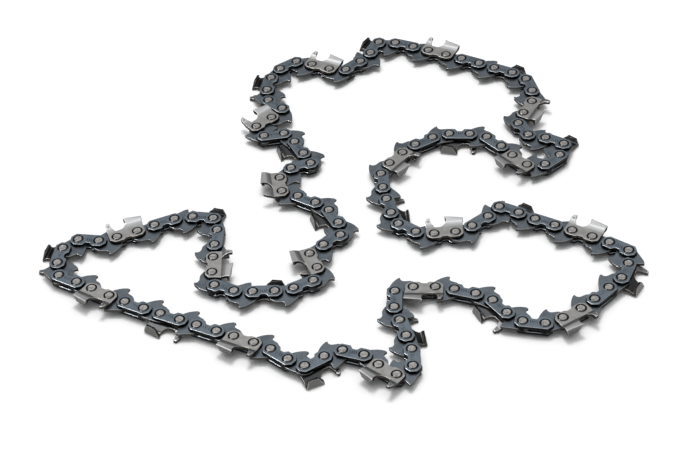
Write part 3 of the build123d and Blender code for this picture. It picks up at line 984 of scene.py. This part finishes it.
GAUGE_BLEND, GAUGE_LIGHTER = 1.0, 0.3      # how soon and how much lighter the inside of a depth gauge is
LINE_STRETCH = (0.03, 3.2, 1.0)         # draws the noise out along the chain, into grinding lines
LINE_SCALE, LINE_DETAIL, LINE_SEEDS = 1.6, 3.0, 50.0
LINE_RANGE = (0.38, 0.62, 0.55, 1.0)    # how far the lines are lighter than the plate
LINE_DEPTH, FOOT_LINE_DEPTH = 1.0, 0.2  # depth of the lines where they are ground, and on the foot
TOP_LINES = 0.1                 # strength of the lines on the top plate
INSIDE_RANGE = (0.75, 0.95)     # share of the plate's thickness from which its inside shows
PUNCH_PLACE, PUNCH_RADIUS = (12.3, 7.3), 0.42   # punch mark on a depth gauge, from the rear rivet
PUNCH_EDGE, PUNCH_DEPTH = (0.7, 1.2, 1.0, 0.0), 6.0


def punch_mark(nodes):
    """A mask for the punch mark, outside the rivet line."""
    flat = nodes.flat()
    x = nodes.math("SUBTRACT", flat["X"], PUNCH_PLACE[0])
    y = nodes.math("ADD", flat["Y"], PUNCH_PLACE[1])
    return nodes.ramp(nodes.math("DIVIDE", nodes.away(x, y), PUNCH_RADIUS), *PUNCH_EDGE)


def shifted(height, blend):
    """A range of heights about a height, with what it turns into as it is."""
    return (height + blend[0], height + blend[1], *blend[2:])


def cutter_finish(colours, spacing, bends):
    """Plated steel: a satin foot, a smooth step, a ground side plate, a dull top with painted shade, and
    an inside painted dark as shade with a painted highlight strip.
    """
    made, nodes, shader = material("cutter_plate")
    step, knee, under, corner, lip = (bends.marks[k] / MM for k in (STEP, KNEE, UNDER, CORNER, LIP))
    split = bends.split / MM
    grain = effect(nodes, metal_grain, CUTTER_GRAIN)
    oil = effect(nodes, oil_and_shade_ring, {"Spacing": spacing})["Mask"]
    flat = nodes.flat()
    height = nodes.times(flat["Y"], -1.0)
    stepped = nodes.ramp(height, step, step + STEP_BLEND)
    ground = nodes.ramp(height, step + GROUND_START, knee)
    top = nodes.ramp(height, *shifted(corner, TOP_BLEND))
    inside = nodes.ramp(nodes.attribute("inside"), *INSIDE_RANGE)
    drawn = nodes.add("ShaderNodeMapping", {"Vector": nodes.flat_map(), "Scale": LINE_STRETCH})
    seed = nodes.times(grain["Shade"], LINE_SEEDS)
    lines = nodes.noise(drawn.outputs["Vector"], LINE_SCALE, LINE_DETAIL, seed)
    streaks = nodes.ramp(lines, *LINE_RANGE)
    clouds = nodes.times(grain["Cloud"], CUTTER_CLOUDS)
    face = nodes.mix(clouds, colours.cutter_face, colours.cutter_side)
    face = nodes.mix(stepped, face, colours.cutter_step)
    # Grinding lines, lighter partly as painted highlight.
    face = nodes.mix(ground, face, nodes.mix(streaks, colours.cutter_step, colours.cutter_ground))
    # Painted shade: the top plate is darker than a dull finish alone.
    dull_and_shaded_top = nodes.mix(nodes.times(streaks, TOP_LINES), colours.cutter_top, colours.cutter_ground)
    face = nodes.mix(top, face, dull_and_shaded_top)
    # Painted highlight: a light strip inside, below the corner.
    painted_highlight_strip = nodes.times(nodes.ramp(height, *shifted(under, HIGHLIGHT_STRIP_START)),
                        nodes.ramp(height, *shifted(under, HIGHLIGHT_STRIP_END)))
    gauge = nodes.times(nodes.ramp(flat["X"], split, split + GAUGE_BLEND), GAUGE_LIGHTER)
    lightened_inside = nodes.math("MAXIMUM", painted_highlight_strip, gauge)
    # Painted shade inside, lightened by the painted highlight strip and on the depth gauge.
    face = nodes.mix(inside, face, nodes.mix(lightened_inside, colours.cutter_inside, colours.cutter_ground))
    # Painted shade on the lip's sides.
    shaded_lip = nodes.ramp(height, *shifted(lip, LIP_BLEND))
    side = nodes.mix(shaded_lip, colours.cutter_side, colours.cutter_lip)
    edge = effect(nodes, edge_wear_and_highlight, {
        "Face": face, "Rim": colours.cutter_rim, "Side": side, "Wear And Highlight": CUTTER_WEAR_AND_HIGHLIGHT})
    punched = nodes.times(punch_mark(nodes), nodes.math("SUBTRACT", 1.0, inside))
    # Oil and painted shade round the rivets, and the punch mark, darken the plate.
    dark = nodes.times(nodes.math("MAXIMUM", oil, punched), CUTTER_OIL_AND_SHADE)
    rough = nodes.ramp(grain["Grain"], *NOISE_RANGE, *CUTTER_ROUGH)
    rough = nodes.math("MULTIPLY_ADD", stepped, -STEP_GLOSS, rough)
    line_depth = nodes.math("MULTIPLY_ADD", ground, LINE_DEPTH - FOOT_LINE_DEPTH, FOOT_LINE_DEPTH)
    relief = nodes.math("MULTIPLY_ADD", lines, line_depth, grain["Grain"])
    relief = nodes.math("MULTIPLY_ADD", punched, -PUNCH_DEPTH, relief)
    nodes.feed(shader, {
        "Base Color": nodes.mix(dark, edge["Color"], colours.oil),
        "Roughness": nodes.math("MULTIPLY_ADD", edge["Side Mask"], SIDE_ROUGH, rough),
        "Metallic": 1.0,
        "Normal": bumped(nodes, relief, RELIEF)})
    return made


RIVET_GRAIN = {"Grain Size": 1500.0, "Cloud Size": 900.0}
RIVET_RELIEF, RIVET_ROUGH = 0.03 * MM, (0.34, 0.46)
RIVET_OIL_AND_SHADE = (0.3, 0.9)          # wall values between which the ring of oil and painted shade starts
RIVET_OIL_GLOSS = 0.28          # how much smoother the oil is than the flat top
RIVET_PATCHES = (0.35, 0.65, 0.4, 1.0)  # grain in the dull patches, and how dull
CLOUD_DEPTH, TURNED_DEPTH = 2.0, 0.1    # depth of clouds and turning lines, with 1 for the grain's
TURNED_PITCH = 16.0             # turning lines, in radians a millimetre


def rivet_finish(colours):
    """Bare steel: a mottled, turned flat top in a ring of dark oil and painted shade."""
    made, nodes, shader = material("rivet_steel")
    grain = effect(nodes, metal_grain, RIVET_GRAIN)
    # Painted shade: the groove round the head is made near black, for oil and for the shade in it.
    oily_and_shaded = nodes.ramp(nodes.attribute("wall"), *RIVET_OIL_AND_SHADE)
    clear = nodes.ramp(oily_and_shaded, 0.0, 1.0, 1.0, 0.0)
    patches = nodes.times(grain["Cloud"], nodes.ramp(grain["Grain"], *RIVET_PATCHES))
    face = nodes.mix(patches, colours.rivet_face, colours.rivet_dark)
    rough = nodes.ramp(grain["Grain"], *NOISE_RANGE, *RIVET_ROUGH)
    flat = nodes.flat()
    turned = nodes.math("SINE", nodes.times(nodes.away(flat["X"], flat["Y"]), TURNED_PITCH))
    relief = nodes.math("MULTIPLY_ADD", grain["Cloud"], CLOUD_DEPTH, grain["Grain"])
    relief = nodes.times(nodes.math("MULTIPLY_ADD", turned, TURNED_DEPTH, relief), clear)
    nodes.feed(shader, {
        "Base Color": nodes.mix(oily_and_shaded, face, colours.oil),
        "Roughness": nodes.math("MULTIPLY_ADD", oily_and_shaded, -RIVET_OIL_GLOSS, rough),
        "Metallic": clear,
        "Specular IOR Level": 2 * OIL_GLOSS,
        "Normal": bumped(nodes, relief, RIVET_RELIEF)})
    return made


# Stage

BENCH_HALF = 8.0                # half the bench's width, in metres
SENSOR, CLIP_START = 36.0, 0.01     # camera sensor's width in millimetres, nearest view in metres
WHITE = (1, 1, 1)


def bench(settings):
    """A wide pale bench that keeps the chain's shadow."""
    bm = bmesh.new()
    bmesh.ops.create_grid(bm, x_segments=1, y_segments=1, size=BENCH_HALF)
    floor = bpy.data.objects.new("bench", finished(bm, "bench"))
    bpy.context.scene.collection.objects.link(floor)
    made, nodes, shader = material("bench")
    ray = nodes.add("ShaderNodeLightPath").outputs
    seen = nodes.math("MAXIMUM", ray["Is Camera Ray"], ray["Is Glossy Ray"])
    seen = nodes.math("MAXIMUM", seen, ray["Is Transmission Ray"])
    nodes.feed(shader, {
        "Base Color": settings.bench, "Roughness": 1.0, "Specular IOR Level": 0.0,
        "Emission Color": WHITE, "Emission Strength": nodes.times(seen, settings.bench_lift)})
    floor.data.materials.append(made)


def softbox(name, place, power, size):
    """A square lamp that faces the loop."""
    lamp = bpy.data.lights.new(name, "AREA")
    lamp.energy, lamp.size = power, size
    light = bpy.data.objects.new(name, lamp)
    light.location = place
    light.rotation_euler = (-light.location).to_track_quat("-Z", "Y").to_euler()
    bpy.context.scene.collection.objects.link(light)
    return light


def studio(settings):
    """Light from above that falls off towards the sides, and two lamps."""
    world = bpy.data.worlds.new("studio")
    world.use_nodes = True
    nodes = Nodes(world.node_tree)
    way = nodes.add("ShaderNodeTexCoord").outputs["Generated"]
    middle = (0, math.sin(settings.sky_tilt), math.cos(settings.sky_tilt))
    towards = nodes.add("ShaderNodeVectorMath", {0: way, 1: middle}, operation="DOT_PRODUCT")
    above = nodes.math("MAXIMUM", towards.outputs["Value"], 0.0)
    above = nodes.math("POWER", above, settings.sky_fall)
    level = nodes.math("MULTIPLY_ADD", above, settings.sky - settings.horizon, settings.horizon)
    nodes.feed(world.node_tree.nodes["Background"], {"Color": WHITE, "Strength": level})
    bpy.context.scene.world = world
    softbox("key", settings.key, settings.key_power, settings.key_size).visible_glossy = False
    softbox("rim", settings.rim, settings.rim_power, settings.rim_size).visible_diffuse = False


def camera(settings):
    """The camera, at the height, tilt and roll of the picture that the loop was measured in."""
    data = bpy.data.cameras.new("camera")
    data.lens, data.sensor_width, data.clip_start = settings.lens, SENSOR, CLIP_START
    ahead = Vector((0, math.cos(settings.elevation), -math.sin(settings.elevation)))
    level_up = Vector((0, math.sin(settings.elevation), math.cos(settings.elevation)))
    right = Vector((1, 0, 0)) * math.cos(settings.roll) - level_up * math.sin(settings.roll)
    turn = Matrix((right, right.cross(ahead), -ahead)).transposed().to_4x4()
    eye = bpy.data.objects.new("camera", data)
    eye.matrix_world = Matrix.Translation(settings.camera) @ turn
    bpy.context.scene.collection.objects.link(eye)
    bpy.context.scene.camera = eye


# Operators

class SAWCHAIN_OT_straps(bpy.types.Operator):
    """Hang the tie straps, above and below the drive links"""
    bl_idname = "sawchain.straps"
    bl_label = "Tie straps"

    def execute(self, context):
        sizes, colours = context.scene.sawchain_plates, context.scene.sawchain_colours
        chain = Chain(sizes)
        upper = strap_mesh(sizes)
        lower = upper.copy()
        lower.transform(Matrix.Diagonal((1, 1, -1, 1)))
        lower.flip_normals()
        finish = link_finish(colours, "strap", sizes.strap_spacing / MM, True)
        for run in RUN_NAMES:
            for kind, master in (("upper_straps", upper), ("lower_straps", lower)):
                hang(run, kind, master, chain.places[run][kind], finish)
        return {"FINISHED"}


class SAWCHAIN_OT_drive_links(bpy.types.Operator):
    """Hang the drive links, plain and with a guard ramp"""
    bl_idname = "sawchain.drive_links"
    bl_label = "Drive links"

    def execute(self, context):
        sizes, colours = context.scene.sawchain_plates, context.scene.sawchain_colours
        chain = Chain(sizes)
        finish = link_finish(colours, "drive", sizes.drive_spacing / MM, False)
        for kind in ("drive_links", "guard_links"):
            master = drive_mesh(sizes, context.scene.sawchain_drive, kind == "guard_links")
            for run in RUN_NAMES:
                hang(run, kind, master, chain.places[run][kind], finish)
        return {"FINISHED"}


class SAWCHAIN_OT_cutters(bpy.types.Operator):
    """Hang the left-hand cutters above and the right-hand cutters below"""
    bl_idname = "sawchain.cutters"
    bl_label = "Cutters"

    def execute(self, context):
        sizes, cutter = context.scene.sawchain_plates, context.scene.sawchain_cutter
        chain = Chain(sizes)
        bends = Bends(sizes, cutter)
        masters = {hand: cutter_mesh(sizes, cutter, bends, hand == "right") for hand in ("left", "right")}
        finish = cutter_finish(context.scene.sawchain_colours, sizes.strap_spacing / MM, bends)
        for node, (place, run) in sorted(chain.cutters.items()):
            piece = gathered(f"dressed_{node}", masters[node.split("_")[0]], [place])
            settled(piece, run, [node], finish)
        return {"FINISHED"}


class SAWCHAIN_OT_rivets(bpy.types.Operator):
    """Set a spun rivet at each pivot"""
    bl_idname = "sawchain.rivets"
    bl_label = "Rivets"

    def execute(self, context):
        sizes = context.scene.sawchain_plates
        chain = Chain(sizes)
        master = rivet_mesh(sizes, context.scene.sawchain_rivet)
        finish = rivet_finish(context.scene.sawchain_colours)
        for run in RUN_NAMES:
            hang(run, "rivets", master, chain.rivets[run], finish)
        return {"FINISHED"}


class SAWCHAIN_OT_stage(bpy.types.Operator):
    """Set up the white bench, the light and the camera"""
    bl_idname = "sawchain.stage"
    bl_label = "Stage"

    def execute(self, context):
        settings = context.scene.sawchain_stage
        bench(settings)
        studio(settings)
        camera(settings)
        context.scene.view_settings.view_transform = "Standard"
        return {"FINISHED"}


class SAWCHAIN_PT_panel(bpy.types.Panel):
    """The steps that dress the chain, and their settings"""
    bl_idname = "SAWCHAIN_PT_panel"
    bl_label = "Saw chain"
    bl_space_type = "VIEW_3D"
    bl_region_type = "UI"
    bl_category = "Saw chain"

    def draw(self, context):
        for step in STEPS:
            self.layout.operator(step.bl_idname)
        for name, settings in SETTINGS.items():
            box = self.layout.box()
            box.label(text=settings.__doc__)
            for prop in settings.__annotations__:
                box.prop(getattr(context.scene, name), prop)


SETTINGS = {
    "sawchain_plates": PlateSizes,
    "sawchain_drive": DriveSizes,
    "sawchain_cutter": CutterSizes,
    "sawchain_rivet": RivetSizes,
    "sawchain_colours": FinishColours,
    "sawchain_stage": StageSettings,
}
STEPS = (SAWCHAIN_OT_straps, SAWCHAIN_OT_drive_links, SAWCHAIN_OT_cutters, SAWCHAIN_OT_rivets,
         SAWCHAIN_OT_stage)
CLASSES = (*SETTINGS.values(), *STEPS, SAWCHAIN_PT_panel)


def register():
    """Adds the settings, the steps and the panel."""
    for cls in CLASSES:
        bpy.utils.register_class(cls)
    for name, settings in SETTINGS.items():
        setattr(bpy.types.Scene, name, PointerProperty(type=settings))


def unregister():
    """Takes them away again."""
    for name in SETTINGS:
        delattr(bpy.types.Scene, name)
    for cls in reversed(CLASSES):
        bpy.utils.unregister_class(cls)


def main():
    """Dresses the chain and sets the stage."""
    register()
    bpy.ops.sawchain.straps()
    bpy.ops.sawchain.drive_links()
    bpy.ops.sawchain.cutters()
    bpy.ops.sawchain.rivets()
    bpy.ops.sawchain.stage()


if __name__ == "__main__":
    main()
